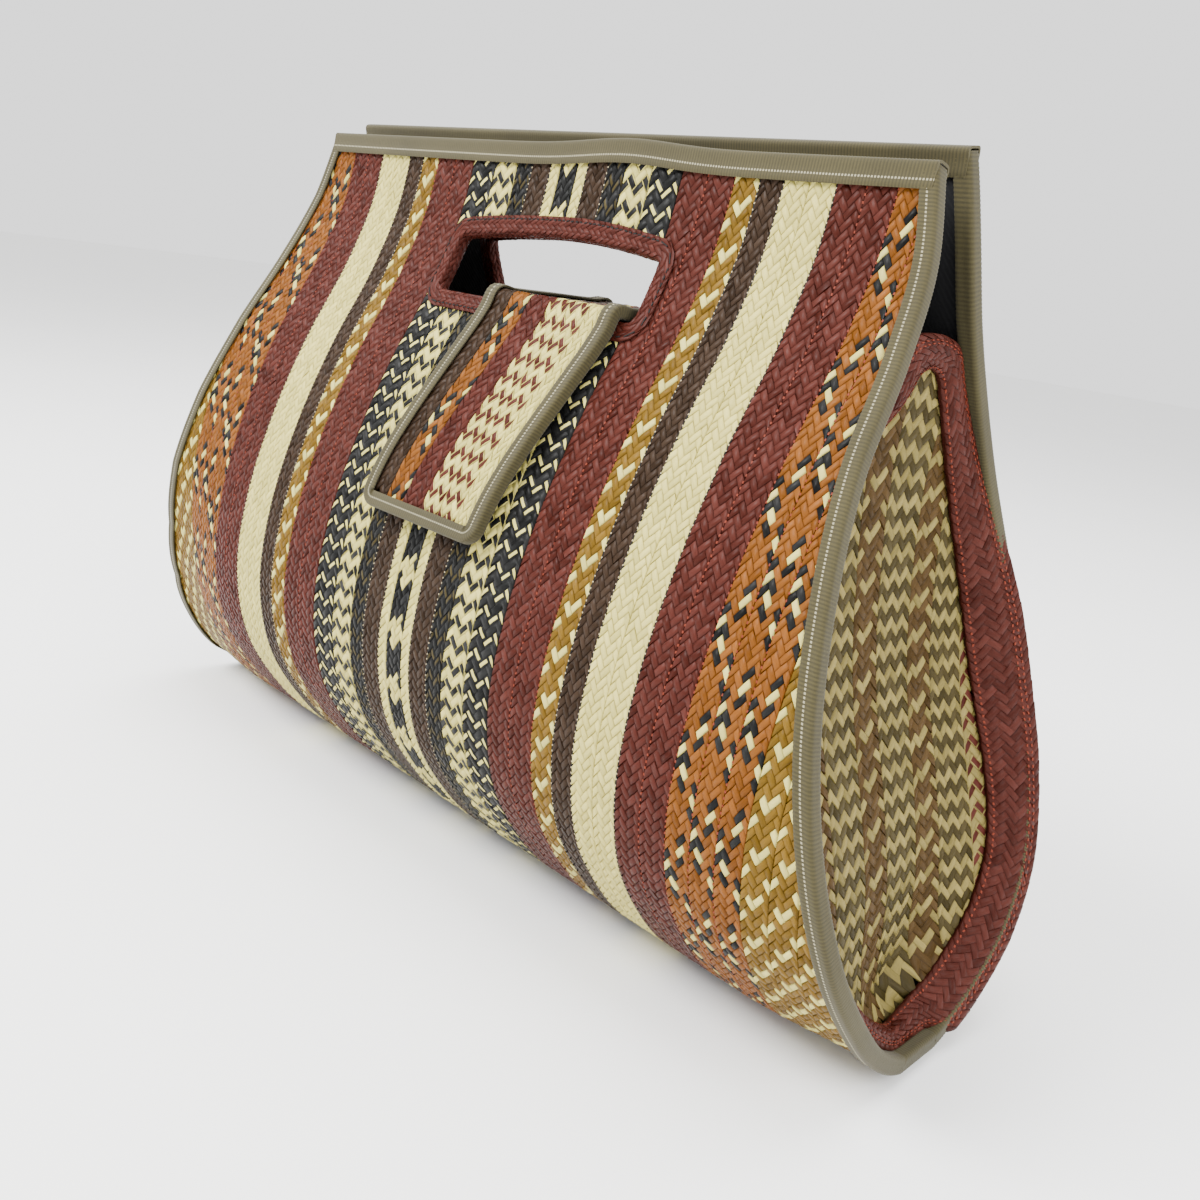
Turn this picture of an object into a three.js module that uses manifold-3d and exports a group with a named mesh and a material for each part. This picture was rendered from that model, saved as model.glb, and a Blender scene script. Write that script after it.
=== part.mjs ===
// A handbag of woven cane: one sheet of sewn braids runs down the front, round the bottom and up
// the back, two gussets close its ends, and a flap crosses both handle slots.
// Millimetres, +Z up, X across the bag, the front faces -Y. The bag stands on z = 0.
import * as THREE from "three";
import Module from "manifold-3d";

const wasm = await Module();
wasm.setup();

// Driving sizes
const bag_width = 400;
const bag_height = 267;
const back_rise = 7;
const bag_depth = 134;
const sheet_thickness = 2;
const lining_thickness = 1;
const piece_gap = 0.3;
const base_flat = 10;
const left_dent = 8;
const top_bulge = 2.5;
const back_sag = 5;
const end_lift = 4.6;

const ribbon_thickness = 1;
const ribbon_width = 9;

const slot_height = 21.5;
const slot_bulge = 3;
const slot_length_front = 103;
const slot_length_back = 122;
const slot_right_end = 58;
const slot_drop = 35.5;
const slot_corner = 3;
const slot_rim_width = 5.5;
const slot_rim_thickness = 1;

const gusset_thickness = 2;
const gusset_drop = 47;
const gusset_recess = 4;
const gusset_bow = 9;
const gusset_valley = 0.35;
const gusset_arch = 3;
const braid_width = 13;
const braid_thickness = 2.6;
const braid_taper = 3;
const braid_dip = 6;

const flap_width = 65;
const flap_hang = 87;
const flap_tail = 26;
const flap_thickness = 2;
const flap_right_margin = 4;
const flap_lean = 15;
const flap_stand_off = 2;
const flap_corner = 7;

// The bag's end outline from its top edge to the floor: shares of the sheet's height, of half the
// bag's depth and of half its width. dent and sag are how far the left end gives way and how far
// the back hangs out, as shares of left_dent and back_sag; the end swells where dent is negative.
const outline_rows = [
  { height: 1.0, depth: 0.136, width: 0.7375, dent: 0, sag: 0 },
  { height: 0.9, depth: 0.209, width: 0.77, dent: 0, sag: 0 },
  { height: 0.8, depth: 0.364, width: 0.7865, dent: -0.25, sag: 0 },
  { height: 0.68, depth: 0.613, width: 0.804, dent: -0.4, sag: 0 },
  { height: 0.55, depth: 0.827, width: 0.843, dent: -0.3, sag: 0 },
  { height: 0.42, depth: 0.966, width: 0.89, dent: 0.1, sag: 0 },
  { height: 0.3, depth: 1.0, width: 0.94, dent: 0.9, sag: 0 },
  { height: 0.19, depth: 0.895, width: 0.98, dent: 1.0, sag: 0.4 },
  { height: 0.1, depth: 0.661, width: 0.9975, dent: 0.3, sag: 1.0 },
  { height: 0.035, depth: 0.403, width: 1.0, dent: -0.2, sag: 0.7 },
];

// Where the sheet's facets meet, as shares of half its width
const across_shares = [-1, -0.92, -0.84, -0.75, -0.62, -0.12, 0, 0.1, 0.2, 0.32, 0.75, 0.92, 1];

const steps_per_row = 2;
const front = -1;
const back = 1;

// Sizes that follow from the driving ones
const ribbon_build = piece_gap + ribbon_thickness;
const sheet_height = bag_height - ribbon_build;
const stack = sheet_thickness + piece_gap + lining_thickness;
const inner_leg = stack + ribbon_build;
const gusset_offset = inner_leg + piece_gap;
const slot_rim_build = piece_gap + slot_rim_thickness;
const slot_bottom = bag_height - slot_drop - slot_height;

const smooth = (share) => THREE.MathUtils.smoothstep(share, 0, 1);

// The end outline as a curve of points (half width, half depth, height)
const half = new THREE.Vector3(bag_width / 2, bag_depth / 2, sheet_height);
const outline_points = outline_rows.map((row) => new THREE.Vector3(row.width, row.depth, row.height).multiply(half));
outline_points.push(new THREE.Vector3(half.x, base_flat, 0));
outline_points.push(new THREE.Vector3(half.x, 0, 0));
const outline = new THREE.CatmullRomCurve3(outline_points);
const outline_end = outline_rows.length;
const outline_steps = outline_end * steps_per_row;

// A place on the outline is a row number, whole or between two rows: 0 is the top edge
function outlineAt(row) {
  const last = outline_points.length - 1;
  const point = outline.getPoint(row / last);
  const along = outline.getTangent(row / last);
  const length = Math.hypot(along.y, along.z);
  return { width: point.x, depth: point.y, height: Math.max(point.z, 0), out: -along.z / length, up: along.y / length };
}

// A column of the outline table read at a height
function columnAt(column, height) {
  const share = THREE.MathUtils.clamp(height / sheet_height, 0, 1);
  const below = outline_rows.findIndex((row) => row.height <= share);
  if (below < 1) {
    return below === 0 ? 0 : outline_rows.at(-1)[column] * (share / outline_rows.at(-1).height);
  }
  const upper = outline_rows[below - 1];
  const lower = outline_rows[below];
  const part = (share - lower.height) / (upper.height - lower.height);
  return THREE.MathUtils.lerp(lower[column], upper[column], part);
}

// The row at which the outline passes a height
function rowAtHeight(height) {
  let low = 0;
  let high = outline_end;
  for (let step = 0; step < 40; step += 1) {
    const middle = (low + high) / 2;
    if (outlineAt(middle).height > height) {
      low = middle;
    } else {
      high = middle;
    }
  }
  return (low + high) / 2;
}

// A point of the sheet at x, a row of the outline and a distance out from its outer face
function sheetPoint(x, row, side, offset) {
  const at = outlineAt(row);
  const share = x / at.width;
  const high = at.height / sheet_height;
  const give = left_dent * columnAt("dent", at.height) * smooth((-share - 0.62) / 0.38);
  const sag = side === back ? back_sag * columnAt("sag", at.height) : 0;
  const lift = end_lift * smooth((Math.abs(share) - 0.75) / 0.25) * (1 - high);
  const wave = top_bulge * Math.exp(-(((x - 0.15 * half.x) / (0.14 * half.x)) ** 2));
  const rise = (side === back ? back_rise : wave) * smooth((high - 0.84) / 0.16);
  const depth = at.depth + sag - give + at.out * offset;
  return [x, side * depth, at.height + lift + rise + at.up * offset];
}

// Rows round the whole sheet, front top edge to back top edge
function roundRows(first_row = 0) {
  const rows = [];
  for (let step = 0; step <= outline_steps; step += 1) {
    const row = step / steps_per_row;
    if (row > first_row + 1e-6) {
      rows.push({ row, side: front });
    }
  }
  rows.unshift({ row: first_row, side: front });
  const mirrored = rows.map(({ row }) => ({ row, side: back })).reverse();
  return rows.concat(mirrored);
}

// A closed solid between two grids of points that have the same rows and columns
function gridSolid(outer, inner, ring = false) {
  const rows = outer.length;
  const columns = outer[0].length;
  const positions = [...outer.flat(), ...inner.flat()].flat();
  const at = (row, column) => (row % rows) * columns + column;
  const under = (row, column) => rows * columns + at(row, column);
  const index = [];
  const quad = (a, b, c, d) => index.push(a, b, c, a, c, d);
  const row_steps = ring ? rows : rows - 1;
  for (let row = 0; row < row_steps; row += 1) {
    for (let column = 0; column < columns - 1; column += 1) {
      quad(at(row, column), at(row + 1, column), at(row + 1, column + 1), at(row, column + 1));
      quad(under(row, column), under(row, column + 1), under(row + 1, column + 1), under(row + 1, column));
    }
    quad(at(row, 0), under(row, 0), under(row + 1, 0), at(row + 1, 0));
    const last = columns - 1;
    quad(at(row, last), at(row + 1, last), under(row + 1, last), under(row, last));
  }
  if (!ring) {
    for (let column = 0; column < columns - 1; column += 1) {
      quad(at(0, column), at(0, column + 1), under(0, column + 1), under(0, column));
      const last = rows - 1;
      quad(at(last, column), under(last, column), under(last, column + 1), at(last, column + 1));
    }
  }
  const solid = new wasm.Manifold(
    new wasm.Mesh({ numProp: 3, vertProperties: new Float32Array(positions), triVerts: new Uint32Array(index) }),
  );
  return solid;
}

// The same solid whichever way round its grids run
function closedSolid(outer, inner, ring = false) {
  const solid = gridSolid(outer, inner, ring);
  return solid.volume() > 0 ? solid : gridSolid(inner, outer, ring);
}

// A prism through the bag along Y whose outline is drawn in X and Z
function prismThrough(shape) {
  const geometry = new THREE.ExtrudeGeometry(shape, { depth: 2 * bag_depth, bevelEnabled: false, curveSegments: 4 });
  geometry.translate(0, 0, -bag_depth);
  geometry.rotateX(Math.PI / 2);
  const merged = new Map();
  const positions = [];
  const index = [];
  const source = geometry.getAttribute("position");
  for (let corner = 0; corner < source.count; corner += 1) {
    const point = [source.getX(corner), source.getY(corner), source.getZ(corner)];
    const key = point.map((value) => value.toFixed(4)).join(" ");
    if (!merged.has(key)) {
      merged.set(key, merged.size);
      positions.push(...point);
    }
    index.push(merged.get(key));
  }
  return new wasm.Manifold(
    new wasm.Mesh({ numProp: 3, vertProperties: new Float32Array(positions), triVerts: new Uint32Array(index) }),
  );
}

// The sheet, or a layer along it, between two distances from its outer face
function sheetLayer(offset_out, offset_in, edge_inset, top_inset = 0) {
  const first_row = top_inset > 0 ? rowAtHeight(sheet_height - top_inset) : 0;
  const layer = (offset) =>
    roundRows(first_row).map(({ row, side }) =>
      across_shares.map((share) => sheetPoint(share * (outlineAt(row).width - edge_inset), row, side, offset)),
    );
  return closedSolid(layer(offset_out), layer(offset_in));
}

// Handle slots: the clear opening, grown by a margin, with its upper edge arched
function slotShape(length, margin) {
  const right = slot_right_end + margin;
  const left = slot_right_end - length - margin;
  const low = slot_bottom - margin;
  const high = slot_bottom + slot_height + margin;
  const corner = slot_corner + margin;
  const shape = new THREE.Shape();
  shape.moveTo(left + corner, low);
  shape.lineTo(right - corner, low);
  shape.quadraticCurveTo(right, low, right, low + corner);
  shape.lineTo(right, high - corner);
  shape.quadraticCurveTo(right, high, right - corner, high);
  shape.quadraticCurveTo((left + right) / 2, high + 2 * slot_bulge, left + corner, high);
  shape.quadraticCurveTo(left, high, left, high - corner);
  shape.lineTo(left, low + corner);
  shape.quadraticCurveTo(left, low, left + corner, low);
  return shape;
}

function halfPrism(length, margin, side) {
  const prism = prismThrough(slotShape(length, margin));
  return side === front ? prism.trimByPlane([0, -1, 0], 0) : prism.trimByPlane([0, 1, 0], 0);
}

const slot_lengths = new Map([
  [front, slot_length_front],
  [back, slot_length_back],
]);

function cutSlots(solid, margin) {
  let cut = solid;
  for (const [side, length] of slot_lengths) {
    cut = cut.subtract(halfPrism(length, margin, side));
  }
  return cut;
}

const woven_body = cutSlots(sheetLayer(0, -sheet_thickness, ribbon_build), slot_rim_build);
const lining_body = cutSlots(sheetLayer(-sheet_thickness - piece_gap, -stack, ribbon_build), slot_rim_build);

// A folded braid clipped over the edge of a slot, through sheet and lining
function handleRim(side) {
  const length = slot_lengths.get(side);
  const whole = sheetLayer(slot_rim_build, -stack - slot_rim_build, ribbon_build);
  const held = sheetLayer(piece_gap, -stack - piece_gap, ribbon_build);
  const band = whole.intersect(halfPrism(length, slot_rim_width, side)).subtract(halfPrism(length, 0, side));
  return band.subtract(held.subtract(halfPrism(length, slot_rim_thickness, side)));
}

// Ribbon folded over an edge: outer leg, fold, inner leg. Each path point is how far it lies in
// from the bag's edge and how far out from the sheet's outer face.
const ribbon_outer_path = [
  { inset: ribbon_width, offset: ribbon_build },
  { inset: 0, offset: ribbon_build },
  { inset: 0, offset: -inner_leg },
  { inset: ribbon_width, offset: -inner_leg },
];
const ribbon_inner_path = [
  { inset: ribbon_width, offset: piece_gap },
  { inset: ribbon_thickness, offset: piece_gap },
  { inset: ribbon_thickness, offset: -stack - piece_gap },
  { inset: ribbon_width, offset: -stack - piece_gap },
];

// The four corners of the sheet are mitred where the ribbons meet
const mitre_constant = bag_height - outlineAt(0).width;
const mitre_gap = piece_gap / 2;

function mitre(solid, end, side, keep_top) {
  const facing = keep_top ? 1 : -1;
  const normal = new THREE.Vector3(-end, 0, 1).multiplyScalar(facing / Math.SQRT2);
  const raised = mitre_constant + (side === back ? back_rise : 0);
  const distance = (facing * raised) / Math.SQRT2 + mitre_gap;
  return solid.trimByPlane(normal.toArray(), distance);
}

function sideRibbon(end) {
  const path = (points) => {
    const grid = roundRows().map(({ row, side }) =>
      points.map(({ inset, offset }) => sheetPoint(end * (outlineAt(row).width - inset), row, side, offset)),
    );
    const raise = (points_of_row) => points_of_row.map(([x, y, z]) => [x, y, z + 2 * ribbon_build]);
    return [raise(grid[0]), ...grid, raise(grid.at(-1))];
  };
  const ribbon = closedSolid(path(ribbon_outer_path), path(ribbon_inner_path));
  const front_half = mitre(ribbon.trimByPlane([0, -1, 0], 0), end, front, false);
  const back_half = mitre(ribbon.trimByPlane([0, 1, 0], 0), end, back, false);
  return front_half.add(back_half);
}

function topRibbon(side) {
  const place = (share, { inset, offset }) => {
    const height = bag_height - inset;
    const x = share * outlineAt(0).width;
    const over = height - sheet_height;
    const row = over > 0 ? 0 : rowAtHeight(height);
    const [px, py, pz] = sheetPoint(x, row, side, offset);
    return [px, py, pz + Math.max(over, 0)];
  };
  const path = (points) => across_shares.map((share) => points.map((point) => place(share * 1.02, point)));
  const ribbon = closedSolid(path(ribbon_outer_path), path(ribbon_inner_path));
  return mitre(mitre(ribbon, 1, side, true), -1, side, true);
}

// Gussets: a braid round the rim and a woven middle bowed into the bag along a crease
const gusset_top_row = rowAtHeight(bag_height - gusset_drop);
const weave_top_row = rowAtHeight(bag_height - gusset_drop - braid_width);
const gusset_rows = outline_end - gusset_top_row;

// How far down the gusset a height lies, 0 at its top and 1 at its lowest
const downGusset = (height) => THREE.MathUtils.clamp(1 - height / (bag_height - gusset_drop), 0, 1);

// A point of an end: a distance in from the sheet, and how deep it lies behind the bag's edge
function endPoint(end, row, side, offset, inward) {
  const at = outlineAt(row);
  const edge_x = end * (at.width - gusset_recess);
  const [, y, z] = sheetPoint(edge_x, row, side, -offset);
  const depth = Math.max(Math.abs(y), 1);
  return [edge_x - end * inward, side * depth, z];
}

// The braid narrows towards the floor, and its inner edge starts lower than its outer one
const braidWidth = (height) => braid_width - braid_taper * smooth((downGusset(height) - 0.55) / 0.3);

function innerRow(row, share) {
  const near_top = 1 - (row - gusset_top_row) / gusset_rows;
  return row + share * (weave_top_row - gusset_top_row) * near_top ** 6;
}

// A point of the braid: share runs from its outer edge, 0, to its inner edge, 1
function braidPoint(end, row, side, share, depth_behind) {
  const height = outlineAt(row).height;
  const dip = braid_dip * smooth(2 * downGusset(height));
  const offset = gusset_offset + share * braidWidth(height);
  return endPoint(end, innerRow(row, share), side, offset, depth_behind + share * dip);
}

// On the arch that joins front and back at the gusset's top, across runs from -1 to 1
function archPoint(end, across, share, depth_behind) {
  const [x, y, z] = braidPoint(end, gusset_top_row, back, share, depth_behind);
  return [x, y * across, z + gusset_arch * (1 - across * across)];
}

function gussetBraid(end) {
  const ring = (depth_behind) => {
    const rows = roundRows(gusset_top_row).map(({ row, side }) =>
      [0, 1].map((share) => braidPoint(end, row, side, share, depth_behind)),
    );
    const arch_rows = [0.65, 0.35, 0, -0.35, -0.65].map((across) =>
      [0, 1].map((share) => archPoint(end, across, share, depth_behind)),
    );
    return rows.concat(arch_rows);
  };
  return closedSolid(ring(0), ring(braid_thickness), true);
}

// The bow grows down the gusset and fades over its lowest stretch
const bow_fade = 0.12;

// How much of the bow a place across the gusset has: it is deepest along a valley nearer the back
function bowShare(across) {
  const reach = across < gusset_valley ? 1 + gusset_valley : 1 - gusset_valley;
  return 1 - (Math.abs(across - gusset_valley) / reach) ** 1.3;
}

function gussetWeave(end) {
  const across_places = [-1, -0.65, -0.35, 0, 0.35, 0.65, 1];
  const rows = roundRows(gusset_top_row).filter(({ side }) => side === back).toReversed();
  const sheet = (depth_behind) =>
    rows.map(({ row }, index) => {
      const down = index / (rows.length - 1);
      const height = outlineAt(row).height;
      const depth = depth_behind + braid_dip * smooth(2 * downGusset(height));
      const offset = gusset_offset + braidWidth(height) + piece_gap;
      const [x, back_y, z] = endPoint(end, innerRow(row, 1), back, offset, depth);
      const [, front_y] = endPoint(end, innerRow(row, 1), front, offset, depth);
      const bow = gusset_bow * down * Math.min(1, (1 - down) / bow_fade);
      const arch = gusset_arch * Math.max(0, 1 - index / 3);
      return across_places.map((across) => [
        x - end * bow * bowShare(across),
        THREE.MathUtils.lerp(front_y, back_y, (across + 1) / 2),
        z + arch * (1 - across * across) - piece_gap * (1 - down),
      ]);
    });
  return closedSolid(sheet(0), sheet(gusset_thickness));
}

// The flap's line from its free end up the front, over both slots' lower edges and down the back
const rim_clearance = slot_rim_build + piece_gap;
const flap_build = flap_thickness / 2 + ribbon_build;
const flap_seat = flap_build + rim_clearance;
const slot_edge_row = rowAtHeight(slot_bottom);
const crossing_height = slot_bottom + piece_gap + flap_build;

function flapLinePoint(row, side, offset) {
  const at = outlineAt(row);
  return new THREE.Vector3(side * (at.depth + at.out * offset), at.height + at.up * offset, 0);
}

// Where the flap turns over a slot's lower edge: out from the rim's corner, half way round the turn
function flapTurnPoint(side) {
  const at = outlineAt(slot_edge_row);
  const corner = flapLinePoint(slot_edge_row, side, slot_rim_build);
  const way = new THREE.Vector3(side * at.out, at.up + 1, 0).normalize();
  return corner.add(way.multiplyScalar(flap_build + 2 * piece_gap));
}

function flapCurve() {
  const front_end_row = rowAtHeight(slot_bottom - flap_hang * 0.92);
  const back_end_row = rowAtHeight(slot_bottom - flap_tail * 0.9);
  const rim_row = rowAtHeight(slot_bottom - slot_rim_width);
  const inner_edge = outlineAt(slot_edge_row).depth - stack - slot_rim_build;
  const points = [0, 0.25, 0.5, 0.75].map((share) =>
    flapLinePoint(THREE.MathUtils.lerp(front_end_row, rim_row, share), front, flap_seat + flap_stand_off * (1 - share)),
  );
  points.push(flapLinePoint(rim_row, front, flap_seat));
  points.push(flapTurnPoint(front));
  points.push(new THREE.Vector3(-inner_edge, crossing_height, 0));
  points.push(new THREE.Vector3(0, crossing_height, 0));
  points.push(new THREE.Vector3(inner_edge, crossing_height, 0));
  points.push(flapTurnPoint(back));
  points.push(flapLinePoint(rim_row, back, flap_seat));
  points.push(flapLinePoint((rim_row + back_end_row) / 2, back, flap_seat));
  points.push(flapLinePoint(back_end_row, back, flap_seat));
  return new THREE.CatmullRomCurve3(points);
}

const flap_line = flapCurve();
const flap_length = flap_line.getLength();
const flap_steps = 30;
const flap_centre_x = slot_right_end - flap_right_margin - flap_width / 2;

// A slab along the flap: how far it stays in from the sides and the free end, and its thickness
function flapSlab(side_inset, end_inset, thickness, tail_inset = 0) {
  const start = end_inset / flap_length;
  const stop = 1 - tail_inset / flap_length;
  const near_end = [0, 0.15, 0.4, 1].map((share) => start + (share * flap_corner) / flap_length);
  const places = near_end.slice();
  for (let step = 1; step <= flap_steps; step += 1) {
    places.push(Math.min(THREE.MathUtils.lerp(near_end.at(-1), stop, step / flap_steps), 1));
  }
  const face = (offset) =>
    places.map((place) => {
      const point = flap_line.getPointAt(place);
      const along = flap_line.getTangentAt(place);
      const from_end = (place - start) * flap_length;
      const bend = Math.max(0, 1 - from_end / flap_corner);
      const rounding = flap_corner * (1 - Math.sqrt(1 - bend * bend));
      const half_width = flap_width / 2 - side_inset - Math.min(rounding, flap_corner * 0.85);
      const lean = flap_lean * smooth(1 - (place * flap_length) / flap_hang);
      return [-1, 1].map((share) => [
        flap_centre_x - lean + share * half_width,
        point.x - along.y * offset,
        point.y + along.x * offset,
      ]);
    });
  return closedSolid(face(thickness / 2), face(-thickness / 2));
}

const flap = flapSlab(ribbon_build, ribbon_build, flap_thickness);

function flapRibbon() {
  const whole = flapSlab(0, 0, flap_thickness + 2 * ribbon_build, ribbon_thickness);
  const held = flapSlab(ribbon_thickness, ribbon_thickness, flap_thickness + 2 * piece_gap);
  const window = flapSlab(ribbon_width, ribbon_width, flap_thickness + 4 * ribbon_build);
  return whole.subtract(held).subtract(window);
}

// Finishes seen on the real bag
const finishes = {
  cane: new THREE.MeshStandardMaterial({ color: 0xa8662a, roughness: 0.55, metalness: 0 }),
  red_cane: new THREE.MeshStandardMaterial({ color: 0x84401f, roughness: 0.5, metalness: 0 }),
  gusset_cane: new THREE.MeshStandardMaterial({ color: 0x8d7c45, roughness: 0.6, metalness: 0 }),
  ribbon: new THREE.MeshStandardMaterial({ color: 0xa69c76, roughness: 0.8, metalness: 0 }),
  lining: new THREE.MeshStandardMaterial({ color: 0x0c0c10, roughness: 0.9, metalness: 0 }),
};

const bag = new THREE.Group();

function addPiece(name, solid, material) {
  const mesh = solid.getMesh();
  const geometry = new THREE.BufferGeometry();
  geometry.setAttribute("position", new THREE.BufferAttribute(new Float32Array(mesh.vertProperties), 3));
  geometry.setIndex(new THREE.BufferAttribute(new Uint32Array(mesh.triVerts), 1));
  geometry.computeVertexNormals();
  const piece = new THREE.Mesh(geometry, material);
  piece.name = name;
  bag.add(piece);
}

addPiece("woven_body", woven_body, finishes.cane);
addPiece("lining_body", lining_body, finishes.lining);
for (const [word, side] of [["front", front], ["back", back]]) {
  addPiece(`handle_rim_${word}`, handleRim(side), finishes.red_cane);
  addPiece(`binding_top_${word}`, topRibbon(side), finishes.ribbon);
}
for (const [word, end] of [["left", -1], ["right", 1]]) {
  addPiece(`binding_side_${word}`, sideRibbon(end), finishes.ribbon);
  addPiece(`gusset_braid_${word}`, gussetBraid(end), finishes.red_cane);
  addPiece(`gusset_weave_${word}`, gussetWeave(end), finishes.gusset_cane);
}
addPiece("flap", flap, finishes.cane);
addPiece("flap_binding", flapRibbon(), finishes.ribbon);

export default bag;
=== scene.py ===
# %% [markdown]
# # A tote bag of woven cane
# The real bag is sewn from narrow braids of dyed, split cane. A ribbon is folded over every edge,
# a woven gusset closes each end, and a woven flap goes through two hand slots. The solids of the
# bag are loaded first. They are the fixed frame that every visible piece is fitted to.

# %% The frame
import math

import bpy
import numpy as np
from mathutils import Matrix, Vector


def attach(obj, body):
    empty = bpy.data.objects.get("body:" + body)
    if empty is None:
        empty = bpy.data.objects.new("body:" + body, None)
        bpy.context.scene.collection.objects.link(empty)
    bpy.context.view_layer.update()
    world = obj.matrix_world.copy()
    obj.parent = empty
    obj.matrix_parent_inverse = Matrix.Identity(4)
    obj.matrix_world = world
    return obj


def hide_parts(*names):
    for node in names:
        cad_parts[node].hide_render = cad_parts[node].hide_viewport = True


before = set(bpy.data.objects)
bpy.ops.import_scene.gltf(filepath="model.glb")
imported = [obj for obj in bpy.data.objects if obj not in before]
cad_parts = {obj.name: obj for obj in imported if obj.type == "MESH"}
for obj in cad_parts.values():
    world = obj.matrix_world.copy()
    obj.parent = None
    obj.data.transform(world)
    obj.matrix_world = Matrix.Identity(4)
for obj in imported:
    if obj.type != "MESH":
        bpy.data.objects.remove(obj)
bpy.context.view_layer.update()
print("solids in the frame:", sorted(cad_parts))

# %% [markdown]
# ## The bag's shape
# Every piece lies on the same bent sheet: down the front, round the bottom and up the back. The
# sheet's end outline is a smooth curve through a table of heights, depths and widths. All sizes
# here are millimetres, and a mesh is turned into metres when it is made.

# %% Sizes
mm = 0.001
bag_width = 400.0
bag_height = 267.0
bag_depth = 134.0
back_rise = 7.0
sheet_thickness = 2.0
lining_thickness = 1.0
piece_gap = 0.3
left_dent = 8.0
top_bulge = 2.5
back_sag = 5.0
end_lift = 4.6
ribbon_thickness = 1.0
ribbon_width = 5.8
top_ribbon_width = 8.2
ribbon_build = piece_gap + ribbon_thickness
sheet_height = bag_height - ribbon_build
stack = sheet_thickness + piece_gap + lining_thickness
inner_leg = stack + ribbon_build
front = -1
back = 1

# height, depth, width, dent and sag of the sheet from its top edge down to the floor, as shares
outline_table = np.array(
    [
        [1.0, 0.136, 0.7375, 0.0, 0.0],
        [0.9, 0.209, 0.77, 0.0, 0.0],
        [0.8, 0.364, 0.7865, -0.25, 0.0],
        [0.68, 0.613, 0.804, -0.4, 0.0],
        [0.55, 0.827, 0.843, -0.3, 0.0],
        [0.42, 0.966, 0.89, 0.1, 0.0],
        [0.3, 1.0, 0.94, 0.9, 0.0],
        [0.19, 0.895, 0.98, 1.0, 0.4],
        [0.1, 0.661, 0.9975, 0.3, 1.0],
        [0.035, 0.403, 1.0, -0.2, 0.7],
    ]
)


# %% A smooth curve through points
def smooth(share):
    share = np.clip(share, 0, 1)
    return share * share * (3 - 2 * share)


def curve_through(points, steps=100):
    """Points along a centripetal Catmull-Rom curve, steps to each stretch between two points."""
    points = np.asarray(points, float)
    ends = np.vstack([2 * points[0] - points[1], points, 2 * points[-1] - points[-2]])
    part = np.linspace(0, 1, steps, endpoint=False)[:, None]
    stretches = []
    for p0, p1, p2, p3 in zip(ends, ends[1:], ends[2:], ends[3:]):
        d0, d1, d2 = (math.sqrt(np.linalg.norm(b - a)) for a, b in ((p0, p1), (p1, p2), (p2, p3)))
        leave = ((p1 - p0) / d0 - (p2 - p0) / (d0 + d1) + (p2 - p1) / d1) * d1
        arrive = ((p2 - p1) / d1 - (p3 - p1) / (d1 + d2) + (p3 - p2) / d2) * d1
        cubic = 2 * p1 - 2 * p2 + leave + arrive
        square = -3 * p1 + 3 * p2 - 2 * leave - arrive
        stretches.append(cubic * part**3 + square * part**2 + leave * part + p1)
    return np.vstack([*stretches, points[-1:]])


def lengths_along(points):
    steps = np.linalg.norm(np.diff(points, axis=0), axis=1)
    return np.concatenate([[0], np.cumsum(steps)])


# %% The end outline
half_size = np.array([bag_width / 2, bag_depth / 2, sheet_height])
outline_points = outline_table[:, [2, 1, 0]] * half_size
outline_points = np.vstack([outline_points, [bag_width / 2, 10, 0], [bag_width / 2, 0, 0]])
outline = curve_through(outline_points)
outline[:, 2] = np.maximum(outline[:, 2], 0)
outline_rows = np.arange(len(outline)) / 100
outline_slope = np.gradient(outline[:, 1:], axis=0)
outline_slope /= np.linalg.norm(outline_slope, axis=1)[:, None]
down_sheet = lengths_along(outline[:, 1:])
sheet_half = down_sheet[-1]
print("the sheet is", round(2 * sheet_half), "mm from top edge to top edge round the bottom")


def outline_at(row):
    width, depth, height = (np.interp(row, outline_rows, outline[:, axis]) for axis in range(3))
    out = -np.interp(row, outline_rows, outline_slope[:, 1])
    up = np.interp(row, outline_rows, outline_slope[:, 0])
    return width, depth, height, out, up


def column_at(column, height):
    heights = np.concatenate([[0], outline_table[::-1, 0]])
    values = np.concatenate([[0], outline_table[::-1, column]])
    return np.interp(height / sheet_height, heights, values)


def row_at_height(height):
    return np.interp(-np.asarray(height, float), -outline[:, 2], outline_rows)


def sheet_point(x, row, side, offset):
    """A point of the sheet: offset is how far it stands out from the sheet's outer face."""
    width, depth, height, out, up = outline_at(row)
    share = x / width
    high = height / sheet_height
    give = left_dent * column_at(3, height) * smooth((-share - 0.62) / 0.38)
    sag = np.where(side == back, back_sag * column_at(4, height), 0)
    lift = end_lift * smooth((np.abs(share) - 0.75) / 0.25) * (1 - high)
    wave = top_bulge * np.exp(-(((x - 30) / 28) ** 2))
    rise = np.where(side == back, back_rise, wave) * smooth((high - 0.84) / 0.16)
    y = side * (depth + sag - give + out * offset)
    return np.stack(np.broadcast_arrays(x, y, height + lift + rise + up * offset), axis=-1)


def row_along(along):
    """The outline's row at a way along the sheet, from the front top edge round to the back's."""
    return np.interp(np.minimum(along, 2 * sheet_half - along), down_sheet, outline_rows)


def sheet_place(x, along, offset):
    """The same by the way along the sheet: 0 at the front top edge, twice sheet_half at the back's."""
    return sheet_point(x, row_along(along), np.where(along <= sheet_half, front, back), offset)


def half_width_at(along):
    return outline_at(row_along(along))[0]


# %% [markdown]
# ## Helpers for materials and meshes
# A material is made of a few nodes. One small function adds a node with its settings and links.
# Woven pieces have tens of thousands of strands, so their meshes are filled from number arrays.


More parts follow.
